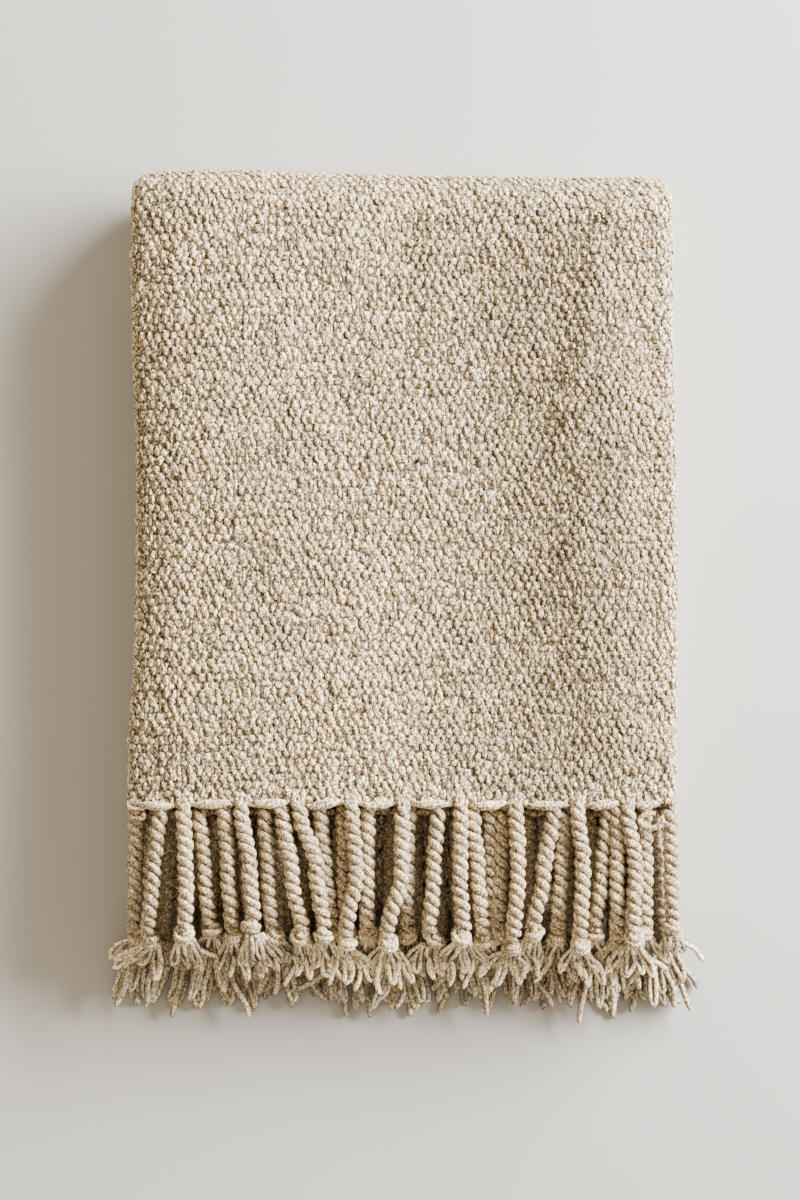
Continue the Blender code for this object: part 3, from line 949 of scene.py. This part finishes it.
def make_materials():
    settings = bpy.context.scene.chenille_weave
    pile_group()
    lattice_group()
    pile, painted_highlight_colour, crevice_shade_colour = (tuple(colour) for colour in (settings.colour, settings.painted_highlight_colour, settings.crevice_shade_colour))
    darker = [tuple(part * GROUND_SHADE for part in colour) for colour in (pile, painted_highlight_colour, crevice_shade_colour)]
    # the fringe's grooves get a darker painted shade still
    deep = tuple(part * FRINGE_GROOVE_SHADE for part in crevice_shade_colour)
    chenille("chenille_ground", darker, speckle=1.0, tufting=0.26, woven=True)
    chenille("chenille_warp", (pile, painted_highlight_colour, crevice_shade_colour), speckle=1.0, tufting=0.26)
    chenille("chenille_strand", (pile, painted_highlight_colour, deep), speckle=0.8, tufting=0.10)
    # The tails' material is a lit copy of the strands': painted light
    chenille("chenille_lit_tail", (tuple(settings.tail_lit_colour), painted_highlight_colour, deep), speckle=0.8, tufting=0.10)


def ground_stations(track, steps):
    """(station, distance) for each step of a track, with its pieces' joints once."""
    stations = []
    for index, (piece, count) in enumerate(zip(track.pieces, steps)):
        first = 0 if index == 0 else 1
        for i in range(first, count + 1):
            at = track.start_of(index) + track.lengths[index] * i / count
            stations.append((piece_station(piece, i / count), at))
    return stations


class MESH_OT_throw_ground(bpy.types.Operator):
    """Make the folded ground sheet, the weft that shows between the warp floats"""

    bl_idname = "mesh.throw_ground"
    bl_label = "Ground sheet"

    def execute(self, context):
        across = ground_stations(ACROSS, GROUND_ACROSS)
        along = ground_stations(ALONG, GROUND_ALONG)
        count = 2 * len(across)
        sides = [(station, u, GROUND_TOP) for station, u in across]
        sides += [(station, u, GROUND_UNDER) for station, u in across[::-1]]
        points, uvs = [], []
        for spot, v in along:
            for station, u, offset in sides:
                points.append(folded(station, spot, offset))
                uvs.append((u, v))
        faces = []
        for ring in range(len(along) - 1):
            for i in range(count):
                here, after = ring * count, (ring + 1) * count
                faces.append((here + i, here + (i + 1) % count, after + (i + 1) % count, after + i))
        for here in (0, (len(along) - 1) * count):
            for i in range(len(across) - 1):
                faces.append((here + i, here + i + 1, here + count - i - 2, here + count - i - 1))
        mesh = bpy.data.meshes.new("throw_cloth")
        mesh.from_pydata([tuple(point) for point in points], [], faces)
        layer = mesh.uv_layers.new(name="sheet")
        for loop in mesh.loops:
            layer.data[loop.index].uv = uvs[loop.vertex_index]
        shape = bmesh.new()
        shape.from_mesh(mesh)
        bmesh.ops.recalc_face_normals(shape, faces=shape.faces)
        shape.to_mesh(mesh)
        shape.free()
        mesh.shade_smooth()
        mesh.materials.append(bpy.data.materials["chenille_ground"])
        piece = bpy.data.objects.new("throw_cloth", mesh)
        context.scene.collection.objects.link(piece)
        given_to_cloth(piece)
        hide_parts("cloth")
        return {"FINISHED"}


def weave_points(name, regions, settings):
    """A mesh of points on every second crossing of warp and weft, with their directions."""
    drift = random.Random(settings.seed)
    points, warps, outs, painted_light_shares = [], [], [], []
    columns = int(sum(ACROSS.lengths) / settings.column_pitch)
    rows = int(sum(ALONG.lengths) / settings.row_pitch)
    for (first_across, last_across), (first_along, last_along) in regions:
        u_low, u_high = ACROSS.start_of(first_across), ACROSS.start_of(last_across + 1)
        v_low, v_high = ALONG.start_of(first_along), ALONG.start_of(last_along + 1)
        if (first_along, last_across) == (4, 1):
            v_high = v_low + FRONT_REACH
        for row in range(rows):
            v = (row + 0.5) * settings.row_pitch
            if not v_low <= v < v_high:
                continue
            for column in range(columns):
                u = (column + 0.5) * settings.column_pitch
                if (row + column) % 2 or not u_low <= u < u_high:
                    continue
                waver = WARP_WAVER * math.sin(90 * v + 2 * math.sin(60 * u))
                place, warp, out = cloth_frame(
                    u + drift.gauss(0, FLOAT_DRIFT[0]) + waver, max(v + drift.gauss(0, FLOAT_DRIFT[1]), 0.0)
                )
                lean, sunk = drift.gauss(0, FLOAT_LEAN), drift.gauss(*FLOAT_SUNK)
                warp = (warp + warp.cross(out) * lean).normalized()
                points.append(tuple(place - out * (settings.float_height * sunk)))
                warps += tuple(warp)
                outs += tuple(out)
                # the painted light and shade of this float's place
                painted_light_shares.append(painted_light_share(place))
    mesh = bpy.data.meshes.new(name)
    mesh.from_pydata(points, [], [])
    for key, store in (("warp", warps), ("out", outs)):
        mesh.attributes.new(key, "FLOAT_VECTOR", "POINT").data.foreach_set("vector", store)
    mesh.attributes.new("painted_light_share", "FLOAT", "POINT").data.foreach_set("value", painted_light_shares)
    return mesh


def pile_values(pile, material):
    scale, depth = pile
    return {"Pile Scale": scale, "Pile Depth": depth, "Material": bpy.data.materials[material]}


class MESH_OT_throw_weave(bpy.types.Operator):
    """Weave the warp floats over the top, the back, the front fold and the folded sides"""

    bl_idname = "mesh.throw_weave"
    bl_label = "Warp floats"

    def execute(self, context):
        settings = context.scene.chenille_weave
        tree = float_tree()
        values = {
            "Size": (settings.float_width, settings.float_length, settings.float_height),
            "Unevenness": settings.unevenness,
            "Seed": settings.seed,
            **pile_values(FLOAT_PILE, "chenille_warp"),
        }
        for name, regions in WEAVE_REGIONS.items():
            grown(name, weave_points(name, regions, settings), tree, values)
        return {"FINISHED"}


def yarn_values(radius, sides, step, material, side_shade):
    tube = {"Radius": radius, "Sides": sides, "Step": step, "Side Shade": side_shade}
    return {**tube, **pile_values(YARN_PILE, material)}


def tapered(count, ends=0.45, share=0.2):
    """Thicknesses along a yarn that thins towards both ends."""
    return [
        mixed(ends, 1.0, smooth(min(i, count - 1 - i) / ((count - 1) * share))) for i in range(count)
    ]


def hem_lines(ropes, drift):
    """The thick weft yarn of the top hem, which sags from rope to rope and loops back at both ends."""
    lines = []
    roots = sorted(rope.root_x for rope in ropes if rope.level == TOP_LEVEL)
    top_z = ply_height(3, 0)
    stops = [HEM_ENDS[0], *roots, HEM_ENDS[1]]
    for left, right in zip(stops, stops[1:]):
        span = []
        sag, slope = drift.uniform(*HEM_SAG), drift.gauss(*HEM_SLOPE)
        for i in range(9):
            share = i / 8
            x = mixed(left + 0.0005, right - 0.0005, share)
            y = TOP_HEM_Y + 0.0014 - sag * math.sin(math.pi * share) + slope * (share - 0.5)
            z = top_z + 0.0007 - 0.0022 * smooth(abs(share - 0.5) * 3 - 0.5)
            span.append(lay((x, y + drift.gauss(0, 0.0003), z)))
        lines.append((span, {"thick": tapered(9, 0.32, 0.48), "tone": drift.uniform(0.7, 1.3)}))
    for centre_x, centre_y, wide, long, drop in HEM_LOOPS:
        ring = []
        for i in range(13):
            angle = math.radians(70) + math.tau * 0.9 * i / 12
            ring.append(settle((
                centre_x + wide * math.cos(angle),
                centre_y + long * math.sin(angle),
                top_z - drop - 0.0012 * math.sin(angle - 1.2),
            )))
        lines.append((ring, {"thick": 0.50, "tone": 0.8}))
    for pack, hem_y, plies in ((3, TOP_HEM_Y, (1, 2, 3)), (2, UNDER_HEM_Y, (0, 1, 2, 3))):
        for ply in plies:
            span = []
            for i in range(61):
                y = hem_y + 0.0010 + drift.gauss(0, 0.0004)
                span.append(settle((mixed(*HIDDEN_HEM_ENDS, i / 60), y, ply_height(pack, ply))))
            lines.append((span, {"thick": 0.65, "tone": drift.uniform(0.2, 0.6)}))
    return lines


def selvedge_lines(drift):
    """The weft's turns along both long edges of the cloth, which show at the left."""
    lines = []
    total = sum(ALONG.lengths)
    count = int(total / SELVEDGE_TURN)
    for edge_u, way in ((SELVEDGE_IN, 1), (sum(ACROSS.lengths) - SELVEDGE_IN, -1)):
        points = []
        for i in range(count + 1):
            aside = 0.0007 * (-1) ** i * way
            points.append(on_cloth(edge_u + aside + drift.gauss(0, 0.0002), total * i / count, 0.0001))
        lines.append((points, {"thick": 1.0, "tone": 0.5}))
    return lines


def gather_lines(ropes, drift):
    """The warp yarns that draw together out of the cloth into the root of each top rope."""
    lines = []
    for rope in ropes:
        if rope.level != TOP_LEVEL:
            continue
        for k in (-1, 0, 1):
            points, count = [], 6
            start = drift.uniform(*GATHERED_FROM)
            for i in range(count):
                share = i / (count - 1)
                aside = k * mixed(0.0034, 0.0014, smooth(share)) + drift.gauss(0, 0.0003)
                distance = mixed(start, 0.0030, share)
                above = mixed(-0.0014, 0.0011 - 0.0006 * abs(k), smooth(share))
                ground = rope.place(distance, aside)
                top = lay((ground.x, ground.y, ply_height(3, 0) + PLY / 2))
                points.append(Vector((ground.x, ground.y, top.z + above - 0.0009)))
            facts = {"thick": tapered(count, 0.40), "tone": drift.uniform(0.3, 1.1), "crown": 0.72}
            lines.append((points, facts))
    return lines


class MESH_OT_throw_hem(bpy.types.Operator):
    """Make the hem's weft yarns, the selvedges and the yarns that gather into the ropes"""

    bl_idname = "mesh.throw_hem"
    bl_label = "Hem and selvedges"

    def execute(self, context):
        settings = context.scene.chenille_fringe
        drift = random.Random(settings.seed)
        ropes = top_ropes()
        tree = yarn_tree()
        radius = settings.yarn_radius
        for name, lines, thick in (
            ("hem_yarns", hem_lines(ropes, drift), 1.85),
            ("selvedge_yarns", selvedge_lines(drift), 0.95),
            ("gathered_yarns", gather_lines(ropes, drift), 1.30),
        ):
            values = yarn_values(radius * thick, 8, 0.0011, "chenille_warp", 0.0)
            grown(name, strips(name, lines), tree, values)
        return {"FINISHED"}


def rope_shade_and_tone(rope, drift):
    """Painted shade: the deeper a row lies, the darker its pile is painted, and its tone differs at random on
    top.
    """
    lower = math.floor(rope.level)
    upper = min(lower + 1, TOP_LEVEL)
    tone = mixed(LEVEL_PAINTED_SHADES[lower], LEVEL_PAINTED_SHADES[upper], rope.level - lower)
    return tone + drift.uniform(-0.15, 0.45)


def rope_lines(ropes, drift, start):
    lines = []
    for rope in ropes:
        count = 22
        end = rope.knot_at - 0.002
        points = [
            rope.place(mixed(start, end, i / count), drift.gauss(0, 0.00025)) for i in range(count + 1)
        ]
        full = 1.0 if rope.level >= SECOND_LEVEL else UNDER_FULLNESS
        loose = 0.0 if rope.level >= 1 else LOWEST_LOOSENESS
        thick = [
            (full + loose * smooth(2.5 * i / count - 1))
            * (0.72 + 0.28 * smooth((i + 0.5) / 3) + drift.gauss(0, 0.05))
            for i in range(count + 1)
        ]
        lines.append((points, {"thick": thick, "tone": rope_shade_and_tone(rope, drift), "phase": drift.random()}))
    return lines


class MESH_OT_throw_ropes(bpy.types.Operator):
    """Twist the ropes of both fringes"""

    bl_idname = "mesh.throw_ropes"
    bl_label = "Twisted ropes"

    def execute(self, context):
        settings = context.scene.chenille_fringe
        drift = random.Random(settings.seed + 1)
        tree = rope_tree()
        values = {
            "Lay": settings.lay,
            "Strand Radius": settings.strand_radius,
            "Strand Offset": settings.strand_offset,
            "Flatness": settings.flatness,
            "Side Shade": 0.55,
            **pile_values(ROPE_PILE, "chenille_strand"),
        }
        for name, ropes, start, sides, step, node in (
            ("ropes_top", top_ropes(), -0.002, 9, 0.00085, "fringe_top"),
            ("ropes_under", under_ropes(settings.under_yarns), 0.0, 7, 0.0015, "fringe_under"),
        ):
            source = strips(name, rope_lines(ropes, drift, start))
            piece = grown(name, source, tree, {**values, "Sides": sides, "Step": step})
            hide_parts(node)
        return {"FINISHED"}


def knot_lines(rope, drift):
    """A knot at the end of a rope, as the strand that winds round it shows."""
    points, count = [], 24
    start, tilt = drift.uniform(0, math.tau), drift.uniform(0, math.tau)
    shift, turns = drift.gauss(0, 0.0010), drift.uniform(*KNOT_TURNS)
    for i in range(count + 1):
        share = i / count
        angle = start - math.tau * turns * share
        reach = KNOT_REACH[0] + KNOT_REACH[1] * math.sin(math.pi * share)
        along = mixed(-KNOT_HALF_LENGTH, KNOT_HALF_LENGTH, share) + 0.0017 * math.cos(angle + tilt)
        above = KNOT_LIFT + reach * math.sin(angle)
        points.append(rope.place(rope.knot_at + along, shift + 1.12 * reach * math.cos(angle), above))
    # The wraps are a little lighter than their rope, and the core under them is darker: painted shade inside
    # the knot
    tone = rope_shade_and_tone(rope, drift) + 0.2
    core = []
    for i in range(len(KNOT_CORE)):
        along = mixed(-KNOT_CORE_HALF_LENGTH, KNOT_CORE_HALF_LENGTH, i / (len(KNOT_CORE) - 1))
        core.append(rope.place(rope.knot_at + along, shift, KNOT_LIFT))
    return [
        (points, {"thick": tapered(count + 1, 0.7, 0.1), "tone": tone, "crown": 0.9}),
        (core, {"thick": list(KNOT_CORE), "tone": tone - 0.3, "crown": 0.7}),
    ]


def tail_lines(rope, length, spread, drift):
    """The loose yarns past a knot: most are cut, and a few are loops that were never cut."""
    lines = []
    outermost = TAIL_LEANS[1] if rope.knot_x > 0 else -TAIL_LEANS[0]
    lean = smooth((abs(rope.knot_x) - 0.135) / 0.025) * outermost + drift.gauss(0, 0.08)
    spread *= drift.uniform(0.5, 1.4)
    shares = (0.0, 0.12, 0.26, 0.40, 0.54, 0.68, 0.82, 0.95, 1.0)
    tail_light_share = TAIL_PAINTED_LIGHT[rope.level >= SECOND_LEVEL]
    for yarn in range(rope.yarns):
        fan = 2 * (yarn + 0.5) / rope.yarns - 1
        heading = lean + spread * fan + drift.gauss(0, 0.10)
        curl, sway = drift.gauss(0, TAIL_CURL), drift.uniform(0.0, TAIL_SWAY)
        phase = drift.uniform(0, math.tau)
        reach = length * drift.uniform(*TAIL_REACH)
        lift = drift.uniform(*TAIL_LIFT)
        looped = yarn % 3 != 2
        points = []
        root = BUNDLE_HALF_WIDTH * math.sin(fan * math.pi / 2)
        risen = BUNDLE_HEIGHT * math.cos(fan * math.pi / 2) - 0.0013 * (yarn % 2)
        forth, aside, before = 0.0, root, 0.0
        for share in shares:
            waver = sway * math.sin(phase + 9 * share) * smooth(2 * share)
            if looped:
                out = 0.85 * reach * math.sin(math.pi * share) ** 0.7
                cross = TAIL_LOOP_HALF_WIDTH * math.cos(math.pi * share)
                cross *= smooth(3 * math.sin(math.pi * share))
                forth = out * math.cos(heading) + cross * math.sin(heading)
                aside = root + out * math.sin(heading) - cross * math.cos(heading)
            else:
                turned = heading + curl * share ** 1.5
                forth += reach * (share - before) * math.cos(turned)
                aside += reach * (share - before) * math.sin(turned)
            before = share
            above = lift * math.sin(2.4 * share) + mixed(risen, 0.0006 * math.sin(phase), share)
            points.append(rope.place(rope.knot_at + TAIL_START + forth, aside + waver, above))
        thick = LOOP_THICKNESS if looped else CUT_THICKNESS
        # Painted light on the tails, more on the upper rows, over their rope's painted shade and random tone
        tone = rope_shade_and_tone(rope, drift) + drift.gauss(tail_light_share, 0.45)
        lines.append((points, {"thick": thick, "tone": tone, "crown": 0.95}))
    return lines


class MESH_OT_throw_knots(bpy.types.Operator):
    """Tie the knots and spread the yarn tails of both fringes"""

    bl_idname = "mesh.throw_knots"
    bl_label = "Knots and tails"

    def execute(self, context):
        settings = context.scene.chenille_fringe
        drift = random.Random(settings.seed + 2)
        tree = bpy.data.node_groups["Chenille yarn"]
        top, under = top_ropes(), under_ropes(settings.under_yarns)
        radius = settings.yarn_radius
        for name, ropes, spread in (("top", top, 0.32), ("under", under, 0.42)):
            knots = [line for rope in ropes for line in knot_lines(rope, drift)]
            values = yarn_values(radius * 1.20, 7, 0.0013, "chenille_strand", 0.4)
            grown("knots_" + name, strips(name, knots), tree, values)
            length = settings.tail_length * (1.42 if name == "under" else 1.2)
            tails = [line for rope in ropes for line in tail_lines(rope, length, spread, drift)]
            values = yarn_values(radius * 1.10, 7, 0.0018, "chenille_lit_tail", 0.88)
            grown("tails_" + name, strips(name, tails), tree, values)
        return {"FINISHED"}


class SCENE_OT_throw_stage(bpy.types.Operator):
    """Set up the floor, the soft light and the camera above the throw"""

    bl_idname = "scene.throw_stage"
    bl_label = "Stage"

    def execute(self, context):
        settings = context.scene.throw_stage
        finish = bpy.data.materials.new("floor_finish")
        finish.use_nodes = True
        shader = finish.node_tree.nodes["Principled BSDF"]
        shader.inputs["Base Color"].default_value = (*settings.floor, 1.0)
        shader.inputs["Roughness"].default_value = 0.9
        shader.inputs["Specular IOR Level"].default_value = 0.1
        bpy.ops.mesh.primitive_plane_add(size=FLOOR_SIDE)
        floor = context.object
        floor.name = "floor"
        floor.data.materials.append(finish)

        world = bpy.data.worlds.new("soft_fill")
        world.use_nodes = True
        sky = world.node_tree.nodes["Background"]
        sky.inputs["Color"].default_value = (*settings.sky, 1.0)
        sky.inputs["Strength"].default_value = settings.sky_strength
        context.scene.world = world

        lamp = bpy.data.lights.new("key", "AREA")
        lamp.shape = "RECTANGLE"
        lamp.size = settings.key_width
        lamp.size_y = settings.key_height
        lamp.energy = settings.key_power
        lamp.color = settings.key
        key = bpy.data.objects.new("key", lamp)
        direction = Vector((
            math.cos(KEY_AZIMUTH) * math.cos(KEY_ELEVATION),
            math.sin(KEY_AZIMUTH) * math.cos(KEY_ELEVATION),
            math.sin(KEY_ELEVATION),
        ))
        key.location = direction * KEY_AWAY
        key.rotation_euler = direction.to_track_quat("Z", "Y").to_euler()
        context.scene.collection.objects.link(key)

        lens = bpy.data.cameras.new("camera")
        lens.sensor_fit = "VERTICAL"
        lens.sensor_height = SENSOR
        lens.lens = SENSOR * CAMERA_ABOVE / (PHOTO_HIGH * PIXEL)
        camera = bpy.data.objects.new("camera", lens)
        camera.location = (
            (PHOTO_WIDE / 2 - CENTRE_X_PIXEL) * PIXEL,
            (CENTRE_Y_PIXEL - PHOTO_HIGH / 2) * PIXEL,
            STACK + CAMERA_ABOVE,
        )
        context.scene.collection.objects.link(camera)
        context.scene.camera = camera
        return {"FINISHED"}


class VIEW3D_PT_throw(bpy.types.Panel):
    """Sizes, colours and steps of the throw"""

    bl_idname = "VIEW3D_PT_throw"
    bl_label = "Chenille throw"
    bl_space_type = "VIEW_3D"
    bl_region_type = "UI"
    bl_category = "Throw"

    def draw(self, context):
        for settings in (
            context.scene.chenille_weave, context.scene.chenille_fringe, context.scene.throw_stage
        ):
            for name in settings.bl_rna.properties.keys():
                if name not in ("rna_type", "name"):
                    self.layout.prop(settings, name)
        for operator in OPERATORS:
            self.layout.operator(operator.bl_idname)


SETTINGS = {
    "chenille_weave": ChenilleWeaveSettings,
    "chenille_fringe": ChenilleFringeSettings,
    "throw_stage": ThrowStageSettings,
}
OPERATORS = (
    MESH_OT_throw_ground,
    MESH_OT_throw_weave,
    MESH_OT_throw_hem,
    MESH_OT_throw_ropes,
    MESH_OT_throw_knots,
    SCENE_OT_throw_stage,
)


def register():
    for name, group in SETTINGS.items():
        bpy.utils.register_class(group)
        setattr(bpy.types.Scene, name, PointerProperty(type=group))
    for operator in OPERATORS:
        bpy.utils.register_class(operator)
    bpy.utils.register_class(VIEW3D_PT_throw)


def unregister():
    bpy.utils.unregister_class(VIEW3D_PT_throw)
    for operator in reversed(OPERATORS):
        bpy.utils.unregister_class(operator)
    for name, group in SETTINGS.items():
        delattr(bpy.types.Scene, name)
        bpy.utils.unregister_class(group)


def declare_sheet():
    names = [*WEAVE_REGIONS, "hem_yarns", "selvedge_yarns", "gathered_yarns"]
    names += [kind + row for kind in ("ropes_", "knots_", "tails_") for row in ("top", "under")]


def main():
    register()
    make_materials()
    for operator in OPERATORS:
        group, name = operator.bl_idname.split(".")
        getattr(getattr(bpy.ops, group), name)()
    declare_sheet()


if __name__ == "__main__":
    main()
